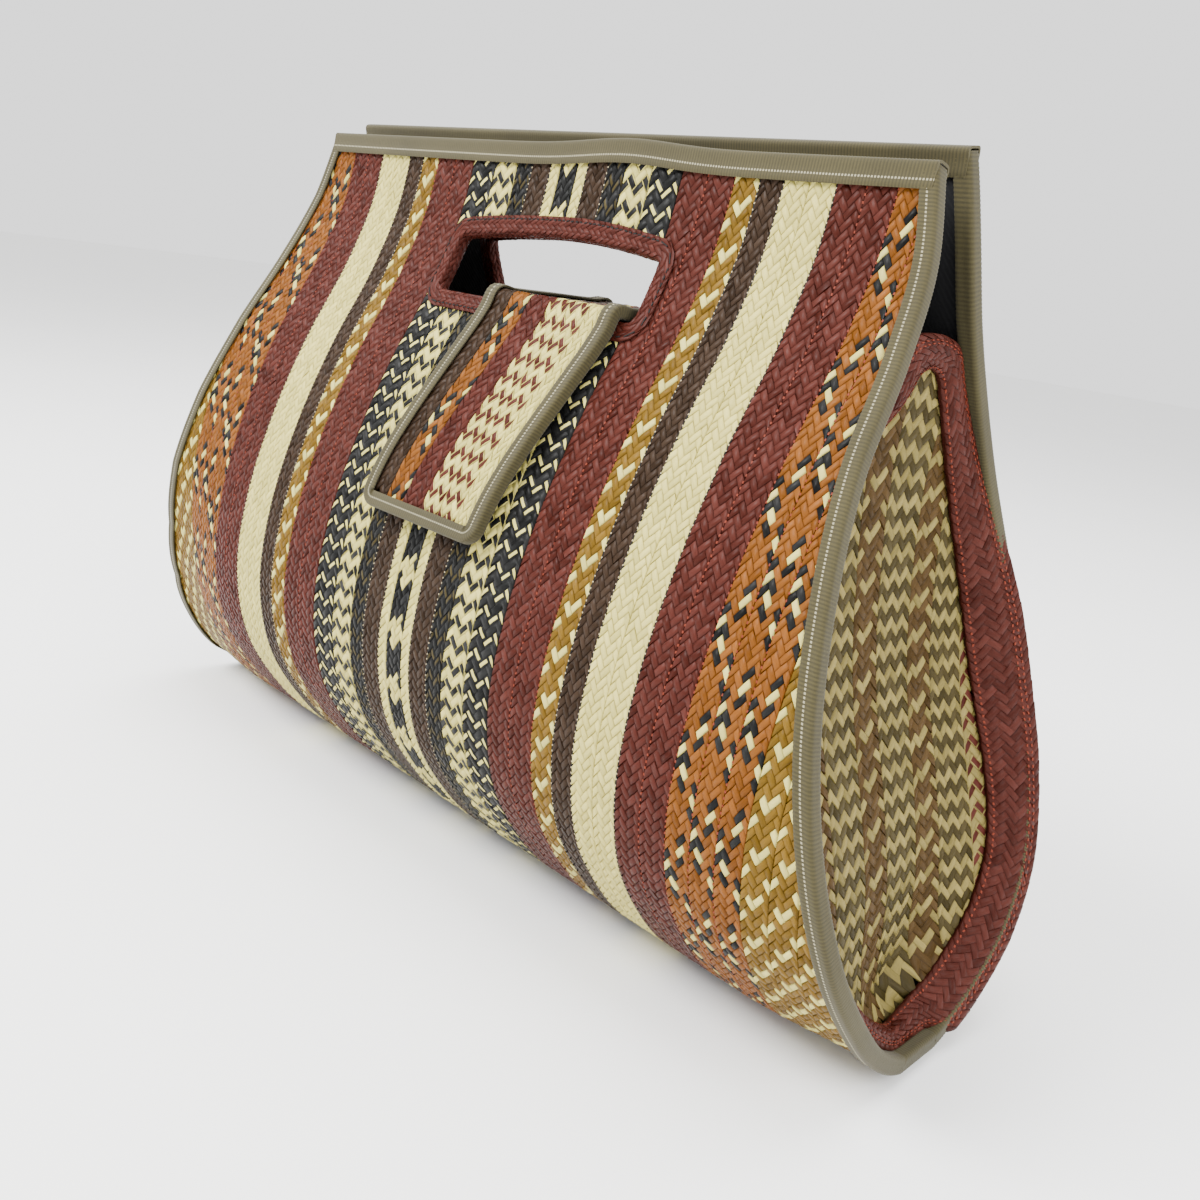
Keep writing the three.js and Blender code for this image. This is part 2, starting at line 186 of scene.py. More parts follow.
# %% Materials' helpers
def linear(hex_colour):
    """An sRGB hex colour as the linear colour that shaders work in."""
    channels = [int(hex_colour[at : at + 2], 16) / 255 for at in (1, 3, 5)]
    return [c / 12.92 if c <= 0.04045 else ((c + 0.055) / 1.055) ** 2.4 for c in channels] + [1]


def shaded(colour, share):
    return [c * share for c in colour[:3]] + [1]


def add(material, kind, settings=None, **inputs):
    """One node. inputs are numbers, colours or other nodes' output sockets, by socket name or number."""
    node = material.node_tree.nodes.new(kind)
    for name, value in (settings or {}).items():
        setattr(node, name, value)
    for name, value in inputs.items():
        numbered = name.startswith("in") and name[2:].isdigit()
        socket = node.inputs[int(name[2:]) if numbered else name.replace("_", " ")]
        if isinstance(value, bpy.types.NodeSocket):
            material.node_tree.links.new(value, socket)
        else:
            socket.default_value = value
    return node


def maths(material, operation, *values):
    inputs = {f"in{i}": value for i, value in enumerate(values)}
    return add(material, "ShaderNodeMath", {"operation": operation}, **inputs).outputs[0]


def mixed(material, share, first, second, blend="MIX"):
    settings = {"data_type": "RGBA", "blend_type": blend}
    return add(material, "ShaderNodeMix", settings, in0=share, in6=first, in7=second).outputs[2]


def ranged(material, value, kind="LINEAR", **limits):
    settings = {"interpolation_type": kind}
    return add(material, "ShaderNodeMapRange", settings, Value=value, **limits).outputs[0]


def noise(material, place, dimensions="3D", **inputs):
    settings = {"noise_dimensions": dimensions}
    return add(material, "ShaderNodeTexNoise", settings, Vector=place, **inputs).outputs[0]


def fine_bump(material, height, strength):
    """A bump two tenths of a millimetre deep."""
    return add(material, "ShaderNodeBump", None, Height=height, Strength=strength, Distance=0.0002).outputs[0]


def new_material(name):
    material = bpy.data.materials.new(name)
    material.use_nodes = True
    material.node_tree.nodes.clear()
    return material


def finish_material(material, **inputs):
    shader = add(material, "ShaderNodeBsdfPrincipled", None, **inputs)
    add(material, "ShaderNodeOutputMaterial", None, Surface=shader.outputs[0])
    return material


# %% Meshes from arrays
def quad_mesh(name, points, quads, materials, paint=None, fibre=None, strand=None):
    """A mesh of four-sided faces, turned so that its faces point outwards, as one piece."""
    first, second, third, fourth = (points[quads[:, corner]] for corner in range(4))
    volume = np.einsum("ij,ij->i", first, np.cross(second, third)).sum()
    volume += np.einsum("ij,ij->i", first, np.cross(third, fourth)).sum()
    if volume < 0:
        quads = quads[:, ::-1]
        fibre = None if fibre is None else fibre[:, ::-1]
    mesh = bpy.data.meshes.new(name)
    mesh.vertices.add(len(points))
    mesh.vertices.foreach_set("co", (points * mm).astype(np.float32).ravel())
    mesh.loops.add(4 * len(quads))
    mesh.loops.foreach_set("vertex_index", np.ascontiguousarray(quads, dtype=np.int32).ravel())
    mesh.polygons.add(len(quads))
    mesh.polygons.foreach_set("loop_start", np.arange(0, 4 * len(quads), 4, dtype=np.int32))
    for material in materials:
        mesh.materials.append(material)
    if paint is not None:
        mesh.polygons.foreach_set("material_index", paint.astype(np.int32))
    mesh.polygons.foreach_set("use_smooth", np.ones(len(quads), dtype=bool))
    if fibre is not None:
        layer = mesh.uv_layers.new(name="fibre")
        layer.data.foreach_set("uv", np.ascontiguousarray(fibre, dtype=np.float32).ravel())
    if strand is not None:
        shade = mesh.attributes.new("strand", "FLOAT", "FACE")
        shade.data.foreach_set("value", strand.astype(np.float32))
    mesh.update(calc_edges=True)
    piece = bpy.data.objects.new(name, mesh)
    bpy.context.collection.objects.link(piece)
    print(name, len(quads) * 2, "triangles, volume", round(abs(volume) / 6000, 2), "cm3")
    return piece


def smooth_by_angle(piece, degrees):
    bpy.ops.object.select_all(action="DESELECT")
    piece.select_set(True)
    bpy.context.view_layer.objects.active = piece
    bpy.ops.object.shade_smooth_by_angle(angle=math.radians(degrees))


def stands_for(piece, slot, *nodes):
    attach(piece, "root")
    if nodes:
        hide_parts(*nodes)
    return piece


# %% [markdown]
# ## Dyed cane
# Split cane is a flat, slightly glossy ribbon of plant fibre. The dye soaks in unevenly, so every
# strand has its own shade and fine streaks run along it. Towards its edges the strand's colour is
# darkened as painted shade in the grooves between strands. Each strand's own shade comes from a
# face attribute, and the streaks and the painted shade from a UV map that runs across and along
# the strand, in millimetres.


# %% Cane material
# A fibre streak's size in millimetres, drawn a little coarser than a real one so that it shows
streak_width = 0.3125
streak_length = 1 / 0.35
cane_gloss = 0.34


def dyed_cane(name, hex_colour, spread):
    """Split cane in one dye. spread is how much the shade of its strands differs."""
    material = new_material(name)
    base = linear(hex_colour)
    shade = add(material, "ShaderNodeAttribute", {"attribute_name": "strand"})
    fibre = add(material, "ShaderNodeUVMap", {"uv_map": "fibre"})
    streak_scale = (1 / streak_width, 1 / streak_length, 1)
    laid = add(material, "ShaderNodeMapping", None, Vector=fibre.outputs[0], Scale=streak_scale)
    streak = noise(material, laid.outputs[0], "2D", Scale=1.0, Detail=3.0, Roughness=0.6)
    dark = shaded(base, (1 - spread) * 0.8)
    light = [min(c * (1 + spread) + 0.012, 1) for c in base[:3]] + [1]
    tone = maths(material, "MULTIPLY_ADD", streak, 0.7, shade.outputs["Fac"])
    dyed = mixed(material, ranged(material, tone, From_Min=0.2, From_Max=1.35), dark, light)
    # Darker towards a float's edges: painted shade in the grooves between strands, multiplied into the colour
    across = add(material, "ShaderNodeSeparateXYZ", None, Vector=fibre.outputs[0])
    to_edge = maths(material, "ABSOLUTE", across.outputs[0])
    edge = ranged(material, to_edge, "SMOOTHSTEP", From_Min=0.62, From_Max=1.15, To_Min=1.0, To_Max=0.55)
    return finish_material(
        material,
        Base_Color=mixed(material, 1.0, dyed, edge, "MULTIPLY"),
        Normal=fine_bump(material, streak, 0.35),
        Roughness=ranged(material, streak, To_Min=cane_gloss - 0.06, To_Max=cane_gloss + 0.2),
        Specular_IOR_Level=0.07,
    )


cane = {
    "cream": dyed_cane("cream_split_cane", "#BBB063", 0.1),
    "red": dyed_cane("red_brown_dyed_cane", "#3A0D01", 0.36),
    "orange": dyed_cane("orange_dyed_cane", "#673901", 0.3),
    "gold": dyed_cane("gold_dyed_cane", "#5F4501", 0.28),
    "brown": dyed_cane("dark_brown_dyed_cane", "#241403", 0.35),
    "black": dyed_cane("black_dyed_cane", "#050504", 0.3),
    "olive": dyed_cane("olive_dyed_cane", "#322908", 0.3),
    "dull_cream": dyed_cane("weathered_cream_cane", "#776A38", 0.2),
    "brown_gold": dyed_cane("brown_gold_dyed_cane", "#3A2702", 0.3),
}
cane_names = list(cane)
cane_materials = list(cane.values())
print("dyed canes:", cane_names)

# %% [markdown]
# ## Plaited strands
# A flat plait shows short floats that lean right and left by turns, in columns. Each float here
# covers two diamonds of one lattice. Its outline lies in the groove between strands and is shared
# with its neighbours, and its crown is a raised face inside that outline. So a whole piece is one
# closed sheet, and each float can have its own dye. At a seam the lattice is drawn to one straight
# line, as the edge of a braid is.

# %% The plait
row_pitch = 1.9
crown_height = 0.22
groove_depth = 0.34
seam_depth = 0.35
crown_shares = (0.82, 0.72)
end_lift_share = 0.3
# The crown's share of a float's width in its UV map. Past it, the cane's colour takes painted groove shade
crown_uv_share = 0.62
corner_jog = 0.13
crown_jog = 0.09
strand_uv_run = 60
smooth_angle = 70
random_state = np.random.default_rng(7)

# A float's outline on the lattice: two end corners, a middle, two end corners, a middle
float_shapes = {
    "falling": np.array([(-1, 0), (0, -1), (1, 0), (2, 1), (1, 2), (0, 1)]),
    "rising": np.array([(0, 1), (-1, 0), (0, -1), (1, -2), (2, -1), (1, 0)]),
}
float_along = np.array([-1, -1, 0, 1, 1, 0])
float_across = np.array([-1, 1, 1, 1, -1, -1])
float_length = 4.4


def plait(name, place, weave, rows, keep, dye_of, wrap=0, thickness=1.5, relief=1.0):
    """A woven piece. weave holds the lattice columns and what turns columns and rows into u and v.

    place(u, v, offset) gives points, keep(u, v) says which floats there are, and dye_of(m, row)
    names the cane of a float's crown and of its edges, and the shares of the float's length and
    width that its crown fills.
    """
    columns, u_of, v_of, seams = weave
    column_count = max(m for m, _ in columns) + 6
    lattice_size = ((wrap or max(rows) + 8) + 4) * column_count
    crown_start = 2 * lattice_size
    corners, crowns, quads, fibres, painted, strands, edges = [], [], [], [], [], [], []
    for m, kind in columns:
        shape = float_shapes[kind]
        n = np.array([n for n in rows if n % 2 == 0])
        corner_m = m + shape[:, 0] + 0 * n[:, None]
        corner_n = n[:, None] + shape[:, 1]
        u, v = u_of(corner_m.astype(float)), v_of(corner_n.astype(float))
        kept = keep(u.mean(1), v.mean(1))
        if not kept.any():
            continue
        n, u, v, corner_m, corner_n = n[kept], u[kept], v[kept], corner_m[kept], corner_n[kept]
        count = len(n)
        ids = (corner_n % wrap if wrap else corner_n + 3) * column_count + corner_m + 2
        corners.append(np.stack([ids.ravel(), corner_m.ravel(), corner_n.ravel()], 1))
        dyes = [dye_of(m, int(row) // 2) for row in n]
        crown_dye, edge_dye = (np.array([cane_names.index(dye[at]) for dye in dyes]) for at in (0, 1))
        long_share, cross_share = (np.array([dye[at] for dye in dyes])[:, None] for at in (2, 3))
        swell = random_state.uniform(0.94, 1.06, (count, 1))
        middle_u, middle_v = (values.mean(1, keepdims=True) for values in (u, v))
        shift = random_state.uniform(-crown_jog, crown_jog, (2, count, 1))
        lift = np.where(float_along == 0, 1.0, end_lift_share) * crown_height * relief
        lift = lift * random_state.uniform(0.5, 1.4, (count, 1))
        away_u, away_v = u - middle_u, v - middle_v
        long_u, long_v = ((values[:, 3:5] - values[:, :2]).mean(1, keepdims=True) for values in (u, v))
        long_size = np.hypot(long_u, long_v)
        reach = (long_share - cross_share) * (away_u * long_u + away_v * long_v) / long_size**2
        crown_u = middle_u + swell * (cross_share * away_u + reach * long_u) + shift[0]
        crown_v = middle_v + swell * (cross_share * away_v + reach * long_v) + shift[1]
        crowns.append(np.stack([crown_u.ravel(), crown_v.ravel(), lift.ravel()], 1))
        crown_ids = crown_start + np.arange(count * 6).reshape(count, 6)
        crown_start += count * 6
        strand = (m + n * (1 if kind == "rising" else -1) + 4000) // 2
        shade = 0.6 * random_state.random(count) + 0.4 * (strand * 0.618 % 1)
        along = float_along * float_length / 2 + random_state.uniform(0, strand_uv_run, (count, 1))
        across = np.broadcast_to(float_across, (count, 6))
        edge_uv = np.stack([across, along], -1)
        crown_uv = np.stack([across * crown_uv_share, along], -1)
        for i in range(6):
            j = (i + 1) % 6
            quads.append(np.stack([ids[:, j], ids[:, i], crown_ids[:, i], crown_ids[:, j]], 1))
            fibres.append(np.stack([edge_uv[:, j], edge_uv[:, i], crown_uv[:, i], crown_uv[:, j]], 1))
            painted.append(edge_dye)
            strands.append(shade)
            edges.append(np.stack([ids[:, i], ids[:, j], edge_dye], 1))
        for face in ([0, 1, 2, 5], [5, 2, 3, 4]):
            quads += [crown_ids[:, face[::-1]], ids[:, face] + lattice_size]
            fibres += [crown_uv[:, face[::-1]], edge_uv[:, face]]
            painted += [crown_dye, edge_dye]
            strands += [shade, shade]
    edges = np.vstack(edges)
    key = edges[:, 0].astype(np.int64) * lattice_size + edges[:, 1]
    opposite = edges[:, 1].astype(np.int64) * lattice_size + edges[:, 0]
    rim = edges[~np.isin(key, opposite)]
    rim_quads = [rim[:, 0], rim[:, 1], rim[:, 1] + lattice_size, rim[:, 0] + lattice_size]
    quads.append(np.stack(rim_quads, 1))
    # The piece's side walls sit at the UV edge, so they take the cane's painted groove shade
    fibres.append(np.ones((len(rim), 4, 2)))
    painted.append(rim[:, 2])
    strands.append(np.full(len(rim), 0.3))
    corners = np.vstack(corners)
    corners = corners[np.unique(corners[:, 0], return_index=True)[1]]
    ids, m, n = corners.T
    jog = random_state.uniform(-corner_jog, corner_jog, (2, len(ids)))
    on_seam = np.isin(m, seams)
    u = u_of(m.astype(float)) + jog[0] * ~on_seam
    v = v_of(n.astype(float)) + jog[1]
    points = np.zeros((crown_start, 3))
    points[ids] = place(u, v, -(groove_depth + seam_depth * on_seam) * relief)
    points[ids + lattice_size] = place(u, v, np.full(len(u), -thickness))
    points[2 * lattice_size :] = place(*np.vstack(crowns).T)
    used, quads = np.unique(np.vstack(quads), return_inverse=True)
    quads = quads.reshape(-1, 4)
    fibres = np.concatenate(fibres).reshape(len(quads), 4, 2)
    painted, strands = np.concatenate(painted), np.concatenate(strands)
    piece = quad_mesh(name, points[used], quads, cane_materials, painted, fibres, strands)
    smooth_by_angle(piece, smooth_angle)
    return piece


# %% [markdown]
# ## The charts of the braids
# A braid has an even number of columns, rising and falling by turns, and the next braid is sewn on
# where a falling column meets a rising one. A chart names each float's dye by its column in the
# braid and its row. They are simple repeats, read off the real bag.


# %% Charts
def whole(dye):
    return dye, dye, *crown_shares


def plain(dye):
    return lambda column, row: whole(dye)


def hearts(ground, heart, repeat=4, phase=0):
    """A heart where a falling and a rising float meet, and half hearts on the seams between."""

    def chart(column, row):
        beat = (row + phase) % repeat
        return whole(heart if beat == (0 if column in (1, 2) else repeat // 2) else ground)

    return chart


def dashes(ground, dash, long_share=0.76, cross_share=0.46):
    def chart(column, row):
        if row % 2 == column % 2:
            return dash, ground, long_share, cross_share
        return whole(ground)

    return chart


def zigzag(first, second):
    return lambda column, row: whole(first if row % 2 == 0 else second)


def feathers(ground, feather, repeat=6):
    """Rows of light floats that grow towards the braid's middle, like a row of small feathers."""

    def chart(column, row):
        beat = row % repeat
        light = beat in (0, 1, 2) if column in (1, 2) else beat == 1
        return whole(feather if light else ground)

    return chart


# Rows of a motif's dark and light floats, by column, counted from its top
motif_rows = {
    0: {2: "dark", 3: "light", 4: "dark"},
    1: {3: "dark", 4: "light", 5: "dark"},
    2: {0: "dark", 1: "light", 2: "dark"},
    3: {5: "dark", 6: "light", 7: "dark"},
}


def motif(ground, dark, light, repeat=10, phase=0):
    dyes = {"dark": dark, "light": light}

    def chart(column, row):
        return whole(dyes.get(motif_rows[column].get((row + phase) % repeat), ground))

    return chart


# From the middle of the panel outwards: how wide a braid is, its columns and its chart
body_braids = [
    (5.0, 2, plain("cream")),
    (10.0, 4, plain("brown")),
    (8.5, 4, dashes("black", "olive")),
    (12.0, 4, dashes("cream", "black", 0.9, 0.8)),
    (13.5, 4, dashes("black", "cream")),
    (11.0, 4, plain("red")),
    (11.0, 4, plain("red")),
    (10.0, 4, hearts("gold", "cream")),
    (9.0, 4, plain("brown")),
    (9.5, 4, plain("cream")),
    (9.5, 4, plain("cream")),
    (10.25, 4, plain("red")),
    (10.25, 4, plain("red")),
    (9.3, 4, motif("orange", "black", "cream", phase=6)),
    (9.3, 4, motif("orange", "black", "cream")),
    (9.4, 4, motif("orange", "black", "cream")),
    (9.6, 4, hearts("gold", "cream")),
    (9.6, 4, hearts("gold", "cream")),
    (9.6, 4, hearts("gold", "cream")),
    (9.6, 4, hearts("gold", "cream")),
]
middle_braid = (9.0, 4, feathers("black", "cream"))
middle_x = 2.5


def lay_out(braids, start):
    """Braids side by side: their lattice columns, charts, the place of each column, and the seams."""
    columns, charts, m_marks, u_marks, seams = [], {}, [], [], []
    first, u = 0, start
    for width, count, chart in braids:
        for column in range(count):
            m = first + 2 * column
            columns.append((m, "falling" if column % 2 else "rising"))
            charts[m] = (chart, column)
        last = first + 2 * count - 1
        m_marks += [first, last]
        u_marks += [u, u + width]
        seams += [first, last]
        first, u = last + 1, u + width
    seams += [-1, first]
    weave = (columns, lambda m: np.interp(m, m_marks, u_marks))

    def dye_of(m, row):
        chart, column = charts[m]
        return chart(column, row)

    return weave, dye_of, seams


left_to_right = body_braids[::-1] + [middle_braid] + body_braids
body_start = middle_x - middle_braid[0] / 2 - sum(width for width, _, _ in body_braids)
body_weave, body_dye, body_seams = lay_out(left_to_right, body_start)
print(len(left_to_right), "braids side by side,", len(body_weave[0]), "columns of strands")

# %% [markdown]
# ## The sewn sheet
# The braids run down the front, round the bottom and up the back. The floats that would lie in a
# hand slot or past the sheet's edge are left out. The ragged edge that this leaves is inside the
# ribbon or the braided rim, as on the real bag.

# %% Slots
slot_length = {front: 103.0, back: 122.0}
slot_right_end = 58.0
slot_height = 21.5
slot_drop = 35.5
slot_bottom = bag_height - slot_drop - slot_height
slot_bulge = 3.0
slot_corner = 3.0


def bend_to(start, pull, end, steps=8):
    part = np.linspace(0, 1, steps)[:, None]
    return (1 - part) ** 2 * start + 2 * part * (1 - part) * pull + part**2 * end


def slot_outline(side):
    """The slot's clear outline in X and Z."""
    left, right = slot_right_end - slot_length[side], slot_right_end
    low, high = slot_bottom, slot_bottom + slot_height
    corner = slot_corner

    def point(x, z):
        return np.array([x, z])

    top = point((left + right) / 2, high + 2 * slot_bulge)
    return np.vstack(
        [
            np.linspace(point(left + corner, low), point(right - corner, low), 60)[:-1],
            bend_to(point(right - corner, low), point(right, low), point(right, low + corner))[:-1],
            np.linspace(point(right, low + corner), point(right, high - corner), 12)[:-1],
            bend_to(point(right, high - corner), point(right, high), point(right - corner, high))[:-1],
            bend_to(point(right - corner, high), top, point(left + corner, high), 60)[:-1],
            bend_to(point(left + corner, high), point(left, high), point(left, high - corner))[:-1],
            np.linspace(point(left, high - corner), point(left, low + corner), 12)[:-1],
            bend_to(point(left, low + corner), point(left, low), point(left + corner, low))[:-1],
        ]
    )


def in_slot(x, along, margin):
    """Whether a place on the sheet is in a hand slot, grown by a margin."""
    side = np.where(along <= sheet_half, front, back)
    height = outline_at(row_along(along))[2]
    inside = np.zeros(len(x), bool)
    for face in (front, back):
        middle = slot_right_end - slot_length[face] / 2
        reach = slot_length[face] / 2 + margin
        share = np.clip(np.abs(x - middle) / reach, 0, 1)
        top = slot_bottom + slot_height + margin + slot_bulge * (1 - share**2)
        hit = (np.abs(x - middle) < reach) & (height > slot_bottom - margin) & (height < top)
        inside |= hit & (side == face)
    return inside


# %% Front and back of the sheet
rows_down = int(sheet_half / row_pitch)
edge_margin = 1.3
end_margin = 2.6


def sheet_v(n):
    return np.clip(np.asarray(n) * row_pitch, 0.5, 2 * sheet_half - 0.5)


def on_sheet(u, v):
    inside = np.abs(u) < half_width_at(v) - ribbon_build - edge_margin
    inside &= ~in_slot(u, v, end_margin)
    return inside & (v > end_margin) & (v < 2 * sheet_half - end_margin)


body_rows = {
    "front": range(0, rows_down),
    "back": range(rows_down + rows_down % 2, int(2 * sheet_half / row_pitch)),
}
middle_column = body_weave[0][len(body_weave[0]) // 2 - 2][0]
body_columns = {
    "left": [column for column in body_weave[0] if column[0] < middle_column],
    "right": [column for column in body_weave[0] if column[0] >= middle_column],
}
for face, rows in body_rows.items():
    for half, columns in body_columns.items():
        weave = (columns, body_weave[1], sheet_v, body_seams)
        piece = plait(f"braids_{face}_{half}", sheet_place, weave, rows, on_sheet, body_dye)
        stands_for(piece, "cane", "woven_body")

# %% [markdown]
# ## Threads, and painted shadow in the seams
# The braids are sewn side by side on a machine. Its stitches show as a row of short threads along a
# seam: pink between red and orange braids, and beside the dark braids pale stitches with black
# blocks between them, which fill the seam's dark gap as painted shadow. Each stitch and each black
# block is a small block, sunk halfway into the groove of the seam.

# %% Stitches and painted seam shadows
stitch_corners = np.array([(-1, -1), (1, -1), (1, 1), (-1, 1)])
stitch_sides = [(0, 1, 5, 4), (1, 2, 6, 5), (2, 3, 7, 6), (3, 0, 4, 7)]
stitch_faces = np.array([(3, 2, 1, 0), (4, 5, 6, 7), *stitch_sides])


def thread(name, hex_colour):
    material = new_material(name)
    return finish_material(material, Base_Color=linear(hex_colour), Roughness=0.7, Specular_IOR_Level=0.2)


threads = {
    "pink": thread("pink_sewing_thread", "#6E2C1A"),
    # Black thread, which also stands for painted shadow in the dark gap of some seams
    "black": thread("black_sewing_thread", "#080706"),
    "pale": thread("pale_sewing_thread", "#A89A7A"),
}


def stitches(name, place, u, v, kind, length, width, stand=0.1, depth=0.6):
    """Small blocks that lie along v at the given places."""
    across, along = (stitch_corners * (width / 2, length / 2)).T
    turn = random_state.uniform(-0.25, 0.25, (len(u), 1))
    spot_u = u[:, None] + across + turn * along
    spot_v = v[:, None] + along + random_state.uniform(-0.15, 0.15, (len(u), 1))
    low, high = (place(spot_u, spot_v, np.full(spot_u.shape, offset)) for offset in (-depth, stand))
    points = np.concatenate([low, high], 1).reshape(-1, 3)
    quads = (8 * np.arange(len(u))[:, None, None] + stitch_faces).reshape(-1, 4)
    piece = quad_mesh(name, points, quads, [threads[kind]])
    smooth_by_angle(piece, 50)
    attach(piece, "root")
    return piece


# The seams on the outer side of a braid, counted from the middle of the panel: pink thread, or
# pale thread with black blocks of painted shadow between its stitches
seam_colours = {
    "pink": [5, 6, 11, 12, 13, 14],
    "black": [0, 1, 7, 8, 10],
}


def seam_blocks(name, kind, seams, pitch, length, width, start=0.0, stand=0.1):
    from_middle = middle_braid[0] / 2 + np.cumsum([braid[0] for braid in body_braids])
    marks = np.arange(3 + start, 2 * sheet_half - 3, pitch)
    lines = [middle_x + side * from_middle[seam] for side in (-1, 1) for seam in seams]
    u, v = (values.ravel() for values in np.meshgrid(lines, marks))
    shown = on_sheet(u, v)
    return stitches(name, sheet_place, u[shown], v[shown], kind, length, width, stand)


seam_blocks("pink_seams", "pink", seam_colours["pink"], 2.1, 0.75, 0.5)
# Black blocks in the seam's dark gap between the pale stitches: painted shadow
seam_blocks("black_seams", "black", seam_colours["black"], 2.0, 1.7, 0.55)
seam_blocks("pale_seams", "pale", seam_colours["black"], 2.0, 0.5, 0.35, 1.0, 0.16)

# %% [markdown]
# ## The braid round a hand slot
# A narrow red-brown braid is folded over the slot's edge, through cane and lining, and sewn down.
# It follows the slot as a ring, and its section is a flat U round the edge of the sheet.


# %% Ring and section helpers
def resample(points, count, closed=False):
    """The same line with count points evenly along it."""
    line = np.vstack([points, points[:1]]) if closed else points
    along = lengths_along(line)
    marks = np.linspace(0, along[-1], count, endpoint=not closed)
    return np.stack([np.interp(marks, along, line[:, axis]) for axis in range(line.shape[1])], 1)


def left_normals(line, closed=False):
    """Unit normals to the left of a flat line's way."""
    if closed:
        way = np.roll(line, -1, 0) - np.roll(line, 1, 0)
    else:
        way = np.gradient(line, axis=0)
    way /= np.linalg.norm(way, axis=1)[:, None]
    return np.stack([-way[:, 1], way[:, 0]], 1)


def along_line(line, share, closed=False):
    """Points at shares from 0 to 1 of an evenly sampled line."""
    count = len(line)
    if closed:
        place = (np.asarray(share) % 1.0) * count
        low = np.floor(place).astype(int) % count
        high = (low + 1) % count
    else:
        place = np.clip(share, 0, 1) * (count - 1)
        low = np.minimum(np.floor(place).astype(int), count - 2)
        high = low + 1
    part = (place - np.floor(place))[..., None]
    if not closed:
        part = (place - low)[..., None]
    return line[low] * (1 - part) + line[high] * part


# %% Slot rims
rim_leg = 6.6
rim_stand = 0.95
rim_corners = [
    (rim_leg, 0.7),
    (rim_leg - 0.6, rim_stand),
    (3.5, rim_stand + 0.05),
    (0.7, rim_stand),
    (0.1, 0.4),
    (0.0, -stack / 2),
    (0.1, -stack - 0.4),
    (0.7, -stack - rim_stand),
    (rim_leg, -stack - 0.8),
]
rim_section = resample(curve_through(rim_corners, 20), 200)
rim_length = lengths_along(rim_section)[-1]
rim_out = left_normals(rim_section)
rim_out = rim_out if rim_out[20, 1] > 0 else -rim_out


def slot_rim_place(side):
    ring = resample(slot_outline(side), 600, closed=True)
    outward = -left_normals(ring, closed=True)
    length = lengths_along(np.vstack([ring, ring[:1]]))[-1]

    def place(u, v, offset):
        section = along_line(rim_section, u / rim_length)
        section = section + along_line(rim_out, u / rim_length) * np.asarray(offset)[..., None]
        share = v / length
        spot = along_line(ring, share, True) + along_line(outward, share, True) * section[..., :1]
        return sheet_point(spot[..., 0], row_at_height(spot[..., 1]), side, section[..., 1])

    return place, length


def row_v(n):
    return n * row_pitch


def everywhere(u, v):
    return np.ones(len(u), bool)


def ring_plait(name, place, length, width, columns, pitch, thickness, relief):
    """A red-brown braid that runs round a ring and joins itself."""
    weave, dye_of = lay_out([(width, columns, plain("red"))], 0)[:2]
    wrap = 2 * round(length / pitch / 2)
    spread = length / wrap
    weave = (*weave, lambda n: n * spread, [])
    return plait(name, place, weave, range(wrap), everywhere, dye_of, wrap, thickness, relief)


rim_pitch = 1.45
ring_stitch_pitch = 2.2
for word, side in (("front", front), ("back", back)):
    place, length = slot_rim_place(side)
    piece = ring_plait(f"slot_rim_{word}", place, length, rim_length, 10, rim_pitch, 0.55, 0.65)
    stands_for(piece, "red_cane", f"handle_rim_{word}")
    marks = np.arange(0, length, ring_stitch_pitch)
    stitches(f"rim_stitches_{word}", place, np.full(len(marks), 1.5), marks, "black", 1.3, 0.4, 0.2)

# %% [markdown]
# ## The gussets
# Each end is closed by braids that run upright, framed by a red-brown braid sewn inside the bag's
# edge. The woven middle is drawn into the bag along a shallow valley nearer the back.

# %% Gusset shapes
gusset_drop = 47.0
gusset_recess = 4.0
gusset_bow = 9.0
gusset_valley = 0.35
gusset_arch = 3.0
frame_width = 13.0
frame_taper = 3.0
frame_dip = 6.0
front_fold = 0.45
front_dip = 3.0
frame_belly = 2.0
cover_stand = 1.8
cover_reach = 1.6
gusset_offset = inner_leg + piece_gap
floor_row = 10.0
gusset_top_row = float(row_at_height(bag_height - gusset_drop))
weave_drop = 5.0
weave_top_row = float(row_at_height(bag_height - gusset_drop - weave_drop))
panel_tuck = 4.0
gusset_rows = floor_row - gusset_top_row


def down_gusset(height):
    return np.clip(1 - height / (bag_height - gusset_drop), 0, 1)


def end_point(end, row, side, offset, inward):
    edge_x = end * (outline_at(row)[0] - gusset_recess)
    spot = sheet_point(edge_x, row, side, -offset)
    depth = np.maximum(np.abs(spot[..., 1]), 1)
    return np.stack([edge_x - end * inward, side * depth, spot[..., 2]], -1)


def frame_width_at(height, side=back):
    """The braid's width as it shows. In front it is folded away behind the ribbon."""
    folded = front_fold * smooth(down_gusset(height) / 0.15) * (side == front)
    return (frame_width - frame_taper * smooth((down_gusset(height) - 0.55) / 0.3)) * (1 - folded)


def inner_row(row, share):
    near_top = 1 - (row - gusset_top_row) / gusset_rows
    return row + share * (weave_top_row - gusset_top_row) * near_top**6


def frame_point(end, row, side, share):
    """A point of the braid round a gusset. At the back its outer edge covers the ribbon's fold."""
    height = outline_at(row)[2]
    down = down_gusset(height)
    dip = frame_dip * smooth(2 * down)
    cover = (1 - share) * (side == back)
    cover = cover * smooth((down - 0.02) / 0.4) * (1 - smooth((down - 0.985) / 0.015))
    behind = front_dip * (side == front)
    behind = behind * smooth(down / 0.1) * (1 - smooth((down - 0.85) / 0.15))
    offset = gusset_offset + share * frame_width_at(height, side) - cover * (gusset_offset + cover_stand)
    inward = share * dip + behind - cover * (gusset_recess + cover_reach)
    return end_point(end, inner_row(row, share), side, offset, inward)


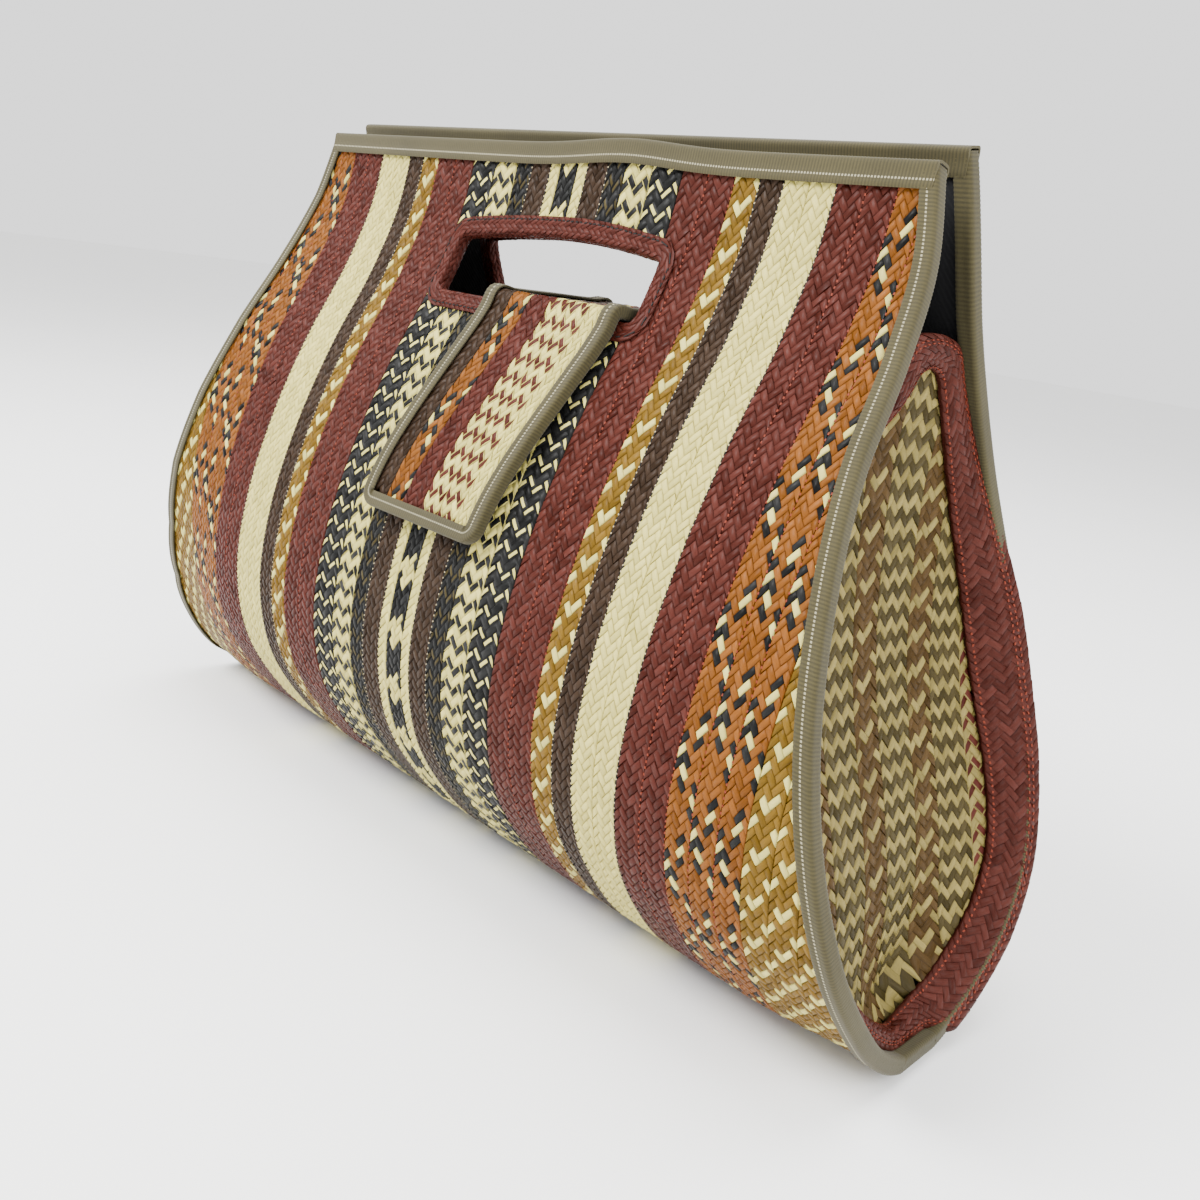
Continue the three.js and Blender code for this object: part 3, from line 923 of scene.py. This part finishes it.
def frame_rail(end, share):
    """One edge of the braid round a gusset, as a ring: down the front, up the back, over the top."""
    down = np.linspace(gusset_top_row, floor_row, 400)
    legs = [frame_point(end, down, front, share), frame_point(end, down[::-1], back, share)]
    across = np.linspace(1, -1, 60)[1:-1, None]
    top = frame_point(end, np.array([gusset_top_row]), back, share)
    arch = top * np.array([1, 0, 1]) + top * np.array([0, 1, 0]) * across
    arch[:, 2] += gusset_arch * (1 - across[:, 0] ** 2)
    return np.vstack([*legs, arch])


def softened(ring, reach):
    """A ring whose corners are rounded by averaging each point with its neighbours."""
    window = np.hanning(2 * reach + 1)
    window /= window.sum()
    padded = np.vstack([ring[-reach:], ring, ring[:reach]])
    return np.stack([np.convolve(padded[:, axis], window, "valid") for axis in range(3)], 1)


def frame_place(end):
    outer, inner = (frame_rail(end, share) for share in (0, 1))
    way = lengths_along(np.vstack([outer + inner, outer[:1] + inner[:1]]) / 2)
    marks = np.linspace(0, way[-1], 900, endpoint=False)
    rails = []
    for rail in (outer, inner):
        line = np.vstack([rail, rail[:1]])
        rail = np.stack([np.interp(marks, way, line[:, axis]) for axis in range(3)], 1)
        rails.append(softened(rail, 9))
    outer, inner = rails
    ahead_of = np.roll(outer + inner, -1, 0) - np.roll(outer + inner, 1, 0)
    normal = np.cross(ahead_of, inner - outer)
    normal /= np.linalg.norm(normal, axis=1)[:, None]
    normal *= np.sign(normal[:, :1] * end)
    length = way[-1]

    def place(u, v, offset):
        share = v / length
        across = (u / frame_width)[..., None]
        spot = along_line(outer, share, True) * (1 - across) + along_line(inner, share, True) * across
        belly = frame_belly * (1 - (2 * across - 1) ** 2)
        return spot + along_line(normal, share, True) * (np.asarray(offset)[..., None] + belly)

    return place, length


def bow_share(across):
    reach = np.where(across < gusset_valley, 1 + gusset_valley, 1 - gusset_valley)
    return 1 - np.minimum(np.abs(across - gusset_valley) / reach, 1.2) ** 1.3


panel_depth = 1.7
bow_fade = 0.12
panel_table_rows = np.linspace(gusset_top_row, floor_row, 600)
panel_edges = {}
for end in (-1, 1):
    edges = []
    for side in (front, back):
        edge = frame_point(end, panel_table_rows, side, 1)
        edges.append(edge - np.array([end * panel_depth, side * piece_gap, 0]))
    panel_edges[end] = edges


def panel_place(end):
    front_edge, back_edge = panel_edges[end]
    line = np.stack([front_edge[:, 0], front_edge[:, 2]], 1)
    way = lengths_along(line)

    def at(v):
        share = np.interp(v, way, np.linspace(0, 1, len(way)))
        x, low, z = (np.interp(v, way, front_edge[:, axis]) for axis in range(3))
        back_x, high = (np.interp(-z, -back_edge[:, 2], back_edge[:, axis]) for axis in (0, 1))
        z = z - np.minimum(v, 0) - np.maximum(v - way[-1], 0)
        return share, x, back_x, z, low, high

    def place(u, v, offset):
        share, x, back_x, z, low, high = at(v)
        across = 2 * (u - low) / (high - low) - 1
        bow = gusset_bow * share * np.minimum(1, (1 - share) / bow_fade)
        arch = gusset_arch * np.maximum(0, 1 - share * gusset_rows * 2 / 3)
        x = x + (back_x - x) * np.clip((across + 1) / 2, 0, 1)
        x = x - end * bow * bow_share(across) + end * np.asarray(offset)
        return np.stack([x, u, z + arch * (1 - across**2)], -1)

    return place, at, way[-1]


# %% Gusset charts
# From the front of the gusset to its back
gusset_braids = [
    (15.0, 4, hearts("brown_gold", "dull_cream", 3)),
    (14.0, 4, hearts("brown_gold", "dull_cream", 3, 1)),
    (18.0, 6, zigzag("dull_cream", "olive")),
    (14.0, 4, hearts("brown_gold", "dull_cream", 4)),
    (19.0, 6, zigzag("dull_cream", "olive")),
    (12.5, 4, hearts("brown_gold", "dull_cream", 3)),
    (16.0, 6, zigzag("dull_cream", "olive")),
    (14.0, 4, dashes("dull_cream", "red", 0.88, 0.76)),
    (12.0, 4, dashes("dull_cream", "red", 0.88, 0.76)),
]
gusset_front_y = -66.0

# %% Gusset pieces
gusset_weave, gusset_dye, gusset_seams = lay_out(gusset_braids, gusset_front_y)
for word, end in (("left", -1), ("right", 1)):
    place, length = frame_place(end)
    piece = ring_plait(f"gusset_frame_{word}", place, length, frame_width, 6, row_pitch, 1.2, 0.8)
    stands_for(piece, "red_cane", f"gusset_braid_{word}")
    marks = np.arange(0, length, ring_stitch_pitch)
    rails = np.repeat([2.2, 3.4, frame_width - 1.0], len(marks))
    stitches(f"frame_stitches_{word}", place, rails, np.tile(marks, 3), "pink", 0.9, 0.35, 0.3)

    place, at, length = panel_place(end)

    def on_panel(u, v, at=at, length=length):
        low, high = at(v)[4:]
        return (u > low - panel_tuck) & (u < high + panel_tuck) & (v > -4) & (v < length + 4)

    weave = (*gusset_weave, row_v, gusset_seams)
    rows = range(-2, int(length / row_pitch) + 4)
    piece = plait(f"gusset_panel_{word}", place, weave, rows, on_panel, gusset_dye, thickness=1.2)
    stands_for(piece, "gusset_cane", f"gusset_weave_{word}")

# %% [markdown]
# ## Ribbon over the edges
# A khaki grosgrain ribbon is folded in half over each edge and sewn through. Grosgrain is a cotton
# ribbon with fine ribs across it. The ribs are real ridges in the mesh, a millimetre apart, and the
# cloth's colour is darkened between them as painted shade. The light line of stitches along the fold
# is part of the cloth's colour.

# %% Ribbon material
rib_pitch = 1.1
rib_height = 0.07
stitch_inset = 2.6


def grosgrain(name, hex_colour):
    material = new_material(name)
    base = linear(hex_colour)
    laid = add(material, "ShaderNodeUVMap", {"uv_map": "fibre"})
    parts = add(material, "ShaderNodeSeparateXYZ", None, Vector=laid.outputs[0])
    rib_turn = 2 * math.pi / rib_pitch
    # Darker in the troughs between the ribs: painted shade, in step with the ridges of the mesh
    ridge = maths(material, "COSINE", maths(material, "MULTIPLY", parts.outputs[1], rib_turn))
    painted_rib_shade = ranged(material, ridge, From_Min=-1.0, To_Min=0.62, To_Max=1.0)
    yarns = add(material, "ShaderNodeMapping", None, Vector=laid.outputs[0], Scale=(0.6, 4.0, 1))
    yarn = noise(material, yarns.outputs[0], "2D", Scale=1.0, Detail=3.0)
    place = add(material, "ShaderNodeTexCoord")
    soil = noise(material, place.outputs["Object"], Scale=35.0, Detail=3.0)
    tone = maths(material, "MULTIPLY_ADD", yarn, 0.6, soil)
    share = ranged(material, tone, From_Min=0.5, From_Max=1.1)
    cloth = mixed(material, share, shaded(base, 0.8), shaded(base, 1.16))
    colour = mixed(material, 1.0, cloth, painted_rib_shade, "MULTIPLY")
    from_line = maths(material, "SUBTRACT", parts.outputs[0], stitch_inset)
    on_line = maths(material, "LESS_THAN", maths(material, "ABSOLUTE", from_line), 0.3)
    in_stitch = maths(material, "GREATER_THAN", ridge, -0.2)
    stitched = maths(material, "MULTIPLY", on_line, in_stitch)
    return finish_material(
        material,
        Base_Color=mixed(material, stitched, colour, linear("#8A846C")),
        Roughness=0.82,
        Normal=fine_bump(material, yarn, 0.3),
        Specular_IOR_Level=0.25,
        Sheen_Weight=0.1,
    )


ribbon_cloth = grosgrain("khaki_cotton_grosgrain", "#413B21")


# %% Folded ribbon
def folded_section(stand, low, width, fold=0.9):
    """Across a folded ribbon: outer leg, fold, inner leg, as (inset, offset) with its own normals."""
    middle = (stand + low) / 2
    corners = [
        (width, stand - 0.25),
        (width - 0.6, stand),
        (width * 0.52, stand - 0.12),
        (fold, stand),
        (fold * 0.25, stand - fold * 0.6),
        (0, middle),
        (fold * 0.25, low + fold * 0.6),
        (fold, low),
        (width * 0.52, low + 0.12),
        (width - 0.6, low),
        (width, low + 0.25),
    ]
    line = resample(curve_through(corners, 12), 28)
    out = left_normals(line)
    if out[1, 1] < 0:
        out = -out
    return line, out


def fold_ribbon(name, place, length, section, thickness=0.7):
    line, out = section
    steps = 2 * round(length / rib_pitch)
    v = np.linspace(0, length, steps + 1)[:, None]
    rib = rib_height * np.cos(np.pi * np.arange(steps + 1))[:, None]
    across = lengths_along(line)
    outer = place(line[:, 0] + out[:, 0] * rib, v + 0 * rib, line[:, 1] + out[:, 1] * rib)
    under = line - out * thickness
    inner = place(under[:, 0] + 0 * rib, v + 0 * rib, under[:, 1] + 0 * rib)
    count = len(line)
    points = np.concatenate([outer, inner[:, ::-1]], axis=1)
    around = 2 * count
    ids = np.arange(points.shape[0] * around).reshape(-1, around)
    nxt = np.roll(ids, -1, axis=1)
    body = np.stack([ids[:-1], nxt[:-1], nxt[1:], ids[1:]], -1).reshape(-1, 4)
    u_of_ring = np.concatenate([across, across[::-1]])
    u_next = np.roll(u_of_ring, -1)
    true_v = v[:, 0] * (steps * rib_pitch / 2) / length
    fibre = np.zeros((steps, around, 4, 2))
    fibre[..., 0] = np.stack([u_of_ring, u_next, u_next, u_of_ring], -1)[None]
    fibre[..., 1] = np.stack([true_v[:-1], true_v[:-1], true_v[1:], true_v[1:]], -1)[:, None]
    caps = []
    for row, flip in ((0, True), (-1, False)):
        k = np.arange(count - 1)
        ring = ids[row]
        cap = np.stack([ring[k], ring[k + 1], ring[around - 2 - k], ring[around - 1 - k]], 1)
        caps.append(cap[:, ::-1] if flip else cap)
    quads = np.vstack([body, *caps])
    fibre = np.concatenate([fibre.reshape(-1, 4, 2), np.zeros((2 * (count - 1), 4, 2))])
    piece = quad_mesh(name, points.reshape(-1, 3), quads, [ribbon_cloth], None, fibre)
    smooth_by_angle(piece, 60)
    return piece


# %% Ribbons on the sheet's edges
sheet_section = folded_section(ribbon_build + 0.15, -inner_leg, ribbon_width)
top_section = folded_section(ribbon_build + 0.3, -inner_leg - 0.15, top_ribbon_width)
for word, end in (("left", -1), ("right", 1)):

    def side_place(inset, v, offset, end=end):
        row = row_along(v)
        edge_x = end * (outline_at(row)[0] - inset)
        return sheet_point(edge_x, row, np.where(v <= sheet_half, front, back), offset)

    piece = fold_ribbon(f"ribbon_side_{word}", side_place, 2 * sheet_half, sheet_section)
    stands_for(piece, "ribbon", f"binding_side_{word}")

top_half_width = float(outline_at(0.0)[0])
for word, side in (("front", front), ("back", back)):

    def top_place(inset, v, offset, side=side):
        height = bag_height - inset
        over = np.maximum(height - sheet_height, 0)
        row = row_at_height(np.minimum(height, sheet_height))
        spot = sheet_point(v - top_half_width, row, side, offset)
        spot[..., 2] += over
        return spot

    piece = fold_ribbon(f"ribbon_top_{word}", top_place, 2 * top_half_width, top_section)
    stands_for(piece, "ribbon", f"binding_top_{word}")

# %% [markdown]
# ## The flap
# A woven strap, cut from the same sewn braids and bound with the same ribbon, hangs over the front,
# goes through the front slot and out of the back one, and ends in a short tail.

# %% The flap's line
slot_rim_width = 5.5
slot_rim_build = piece_gap + 1.0
flap_width = 65.0
flap_hang = 87.0
flap_tail = 26.0
flap_thickness = 2.0
flap_lean = 15.0
flap_stand_off = 2.0
flap_corner = 7.0
flap_clearance = 4.0
flap_centre_x = slot_right_end - flap_clearance - flap_width / 2
flap_build = flap_thickness / 2 + ribbon_build
flap_seat = flap_build + slot_rim_build + piece_gap
slot_edge_row = float(row_at_height(slot_bottom))
crossing_height = slot_bottom + piece_gap + flap_build


def beside_sheet(row, side, offset):
    _, depth, height, out, up = outline_at(row)
    return np.array([side * (depth + out * offset), height + up * offset])


def flap_turn(side):
    _, _, _, out, up = outline_at(slot_edge_row)
    way = np.array([side * out, up + 1])
    way = way / np.linalg.norm(way)
    return beside_sheet(slot_edge_row, side, slot_rim_build) + way * (flap_build + 2 * piece_gap)


free_row = float(row_at_height(slot_bottom - flap_hang * 0.92))
tail_row = float(row_at_height(slot_bottom - flap_tail * 0.9))
rim_row = float(row_at_height(slot_bottom - slot_rim_width))
inner_edge = float(outline_at(slot_edge_row)[1]) - stack - slot_rim_build
flap_knots = [
    beside_sheet(free_row + (rim_row - free_row) * share, front, flap_seat + flap_stand_off * (1 - share))
    for share in (0, 0.25, 0.5, 0.75)
]
flap_knots += [
    beside_sheet(rim_row, front, flap_seat),
    flap_turn(front),
    np.array([-inner_edge, crossing_height]),
    np.array([0, crossing_height]),
    np.array([inner_edge, crossing_height]),
    flap_turn(back),
    beside_sheet(rim_row, back, flap_seat),
    beside_sheet((rim_row + tail_row) / 2, back, flap_seat),
    beside_sheet(tail_row, back, flap_seat),
]
flap_line = curve_through(flap_knots)
flap_length = lengths_along(flap_line)[-1]
flap_line = resample(flap_line, 800)
flap_way = np.gradient(flap_line, axis=0)
flap_way /= np.linalg.norm(flap_way, axis=1)[:, None]
print("the flap is", round(flap_length), "mm long")


def flap_place(u, v, offset):
    share = v / flap_length
    spot = along_line(flap_line, share)
    way = along_line(flap_way, share)
    lean = flap_lean * smooth(1 - v / flap_hang)
    y = spot[..., 0] - way[..., 1] * offset
    z = spot[..., 1] + way[..., 0] * offset
    return np.stack(np.broadcast_arrays(flap_centre_x - lean + u, y, z), -1)


# %% Flap pieces
flap_ribbon_width = 5.8
flap_braids = [
    (10.6, 4, plain("brown")),
    (9.4, 4, motif("orange", "black", "cream", phase=3)),
    (10.4, 4, plain("red")),
    (9.6, 4, dashes("cream", "red", 0.88, 0.76)),
    (9.6, 4, dashes("cream", "red", 0.88, 0.76)),
    (7.0, 4, plain("cream")),
]
flap_start = -flap_width / 2 + 2.4
flap_weave, flap_dye, flap_seams = lay_out(flap_braids, flap_start)


flap_margin = 3.4
flap_corner_margin = 6.4
tail_margin = 3.6
flap_braid_stand = 0.75


def on_flap(u, v):
    """Inside the ribbon, and clear of its two rounded corners at the free end."""
    to_side = flap_width / 2 - np.abs(u)
    inside = (to_side > flap_margin) & (v > flap_margin) & (v < flap_length - tail_margin)
    return inside & ((v > flap_corner_margin) | (to_side > flap_corner_margin))


# The sign of an offset that leads away from the bag, read where the flap hangs in front
hanging_y = [float(flap_place(0.0, 40.0, offset)[1]) for offset in (0.0, 1.0)]
flap_out = 1 if hanging_y[1] < hanging_y[0] else -1


def flap_surface(u, v, offset):
    return flap_place(u, v, flap_out * (np.asarray(offset) + flap_braid_stand))


weave = (*flap_weave, row_v, flap_seams)
flap_rows = range(0, int(flap_length / row_pitch))
piece = plait("flap_braids", flap_surface, weave, flap_rows, on_flap, flap_dye)
stands_for(piece, "cane", "flap")


def round_corner(middle, radius, begin, finish):
    angles = np.radians(np.linspace(begin, finish, 30))
    return np.stack([middle[0] + radius * np.cos(angles), middle[1] + radius * np.sin(angles)], 1)


def flap_edge(inset, radius):
    """The flap's outline from its tail round the free end and back, at an inset."""
    reach = flap_width / 2 - inset
    tail = flap_length - 0.5
    return [
        np.linspace((-reach, tail), (-reach, inset + radius), 200),
        round_corner((-reach + radius, inset + radius), radius, 180, 270),
        np.linspace((-reach + radius, inset), (reach - radius, inset), 80),
        round_corner((reach - radius, inset + radius), radius, 270, 360),
        np.linspace((reach, inset + radius), (reach, tail), 200),
    ]


outer_edge = np.vstack(flap_edge(0.0, flap_corner))
inner_edge_line = np.vstack(flap_edge(flap_ribbon_width, 0.6))
edge_way = lengths_along(outer_edge)


def flap_ribbon_place(inset, v, offset):
    share = inset / flap_ribbon_width
    spots = []
    for axis in (0, 1):
        near = np.interp(v, edge_way, outer_edge[:, axis])
        far = np.interp(v, edge_way, inner_edge_line[:, axis])
        spots.append(near + (far - near) * share)
    return flap_place(spots[0], spots[1], flap_out * offset)


flap_section = folded_section(flap_build, -flap_build, flap_ribbon_width, 0.8)
piece = fold_ribbon("flap_ribbon", flap_ribbon_place, edge_way[-1], flap_section)
stands_for(piece, "ribbon", "flap_binding")


def tail_ribbon_place(inset, v, offset):
    return flap_place(v - flap_width / 2, flap_length - inset, flap_out * offset)


tail_section = folded_section(flap_build + 0.2, -flap_build - 0.2, flap_ribbon_width, 0.8)
piece = fold_ribbon("tail_ribbon", tail_ribbon_place, flap_width, tail_section)
stands_for(piece, "ribbon", "flap_binding")

# %% [markdown]
# ## The camera, floor and light
# The camera stands where the photograph was taken from, rolled a little to its side. The floor is
# plain and pale, and large soft lights from above give the faint shadow under the bag.

# %% Camera
camera_place = Vector((0.31415, -0.30653, 0.22427))
yaw, pitch, roll = (math.radians(angle) for angle in (41.963, 15.992, 8.489))
ahead = Vector((-math.sin(yaw) * math.cos(pitch), math.cos(yaw) * math.cos(pitch), -math.sin(pitch)))
level = Vector((math.cos(yaw), math.sin(yaw), 0))
above = level.cross(ahead)
camera_x = math.cos(roll) * level + math.sin(roll) * above
camera_y = -math.sin(roll) * level + math.cos(roll) * above
camera_data = bpy.data.cameras.new("camera")
sensor_mm = 36
focal_pixels = 1126
picture_pixels = 1200
camera_data.sensor_width = sensor_mm
camera_data.lens = sensor_mm * focal_pixels / picture_pixels
camera_data.clip_start = 0.01
camera = bpy.data.objects.new("camera", camera_data)
turned = Matrix((camera_x, camera_y, -ahead)).transposed().to_4x4()
camera.matrix_world = Matrix.Translation(camera_place) @ turned
bpy.context.collection.objects.link(camera)
bpy.context.scene.camera = camera
print("lens", round(camera_data.lens, 2), "mm")

# %% Floor and lights
bpy.ops.object.select_all(action="DESELECT")
bpy.ops.mesh.primitive_plane_add(size=12, location=(0, 0, -0.0002))
floor = bpy.context.object
floor.name = "floor"
floor_material = new_material("white_paper")
floor_noise = add(floor_material, "ShaderNodeTexNoise", None, Scale=60.0)
floor_tone = mixed(floor_material, floor_noise.outputs[0], linear("#F4F4F3"), linear("#F7F7F6"))
finish_material(floor_material, Base_Color=floor_tone, Roughness=0.9)
floor.data.materials.append(floor_material)

world = bpy.data.worlds.new("studio")
world.use_nodes = True
world.node_tree.nodes["Background"].inputs["Color"].default_value = (1, 1, 1, 1)
world.node_tree.nodes["Background"].inputs["Strength"].default_value = 1.7
bpy.context.scene.world = world


bag_middle = (0, 0, 0.12)


def soft_light(name, place, size, power):
    data = bpy.data.lights.new(name, "AREA")
    data.shape = "SQUARE"
    data.size = size
    data.energy = power
    light = bpy.data.objects.new(name, data)
    light.location = place
    direction = Vector(bag_middle) - Vector(place)
    light.rotation_euler = direction.to_track_quat("-Z", "Y").to_euler()
    bpy.context.collection.objects.link(light)


soft_light("key_light", (-0.5, -0.9, 1.2), 0.6, 46)
soft_light("side_light", (1.2, -0.2, 0.9), 0.9, 18)
soft_light("top_light", (0, 0.2, 1.6), 1.2, 29)

# %% [markdown]
# ## The lining
# Plain black cotton, sewn in behind the cane. It shows through the slot and at the open end, as a
# dull, dark cloth with a fine thread.


# %% Lining
def woven_cotton(name, hex_colour, thread_mm, roughness):
    material = new_material(name)
    place = add(material, "ShaderNodeTexCoord")
    spot = place.outputs["Object"]
    twill_scale = 1 / (thread_mm * mm) / 6.28
    twill = add(
        material,
        "ShaderNodeTexWave",
        {"bands_direction": "DIAGONAL"},
        Vector=spot,
        Scale=twill_scale,
        Distortion=2.0,
    )
    mottle = noise(material, spot, Scale=90.0, Detail=4.0)
    base = linear(hex_colour)
    return finish_material(
        material,
        Base_Color=mixed(material, mottle, shaded(base, 0.75), shaded(base, 1.3)),
        Roughness=roughness,
        Normal=fine_bump(material, twill.outputs[0], 0.4),
        Specular_IOR_Level=0.2,
        Sheen_Weight=0.15,
    )


lining_cloth = woven_cotton("black_cotton_lining", "#08080B", 0.5, 0.9)
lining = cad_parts["lining_body"]
lining.data.materials.clear()
lining.data.materials.append(lining_cloth)
down = np.linspace(0, 2 * sheet_half, 800)
slots_area = sum(length * slot_height for length in slot_length.values())
lining_area = (2 * half_width_at(down)).mean() * 2 * sheet_half - slots_area
print("lining cloth, flat:", round(float(lining_area) / 100), "cm2")
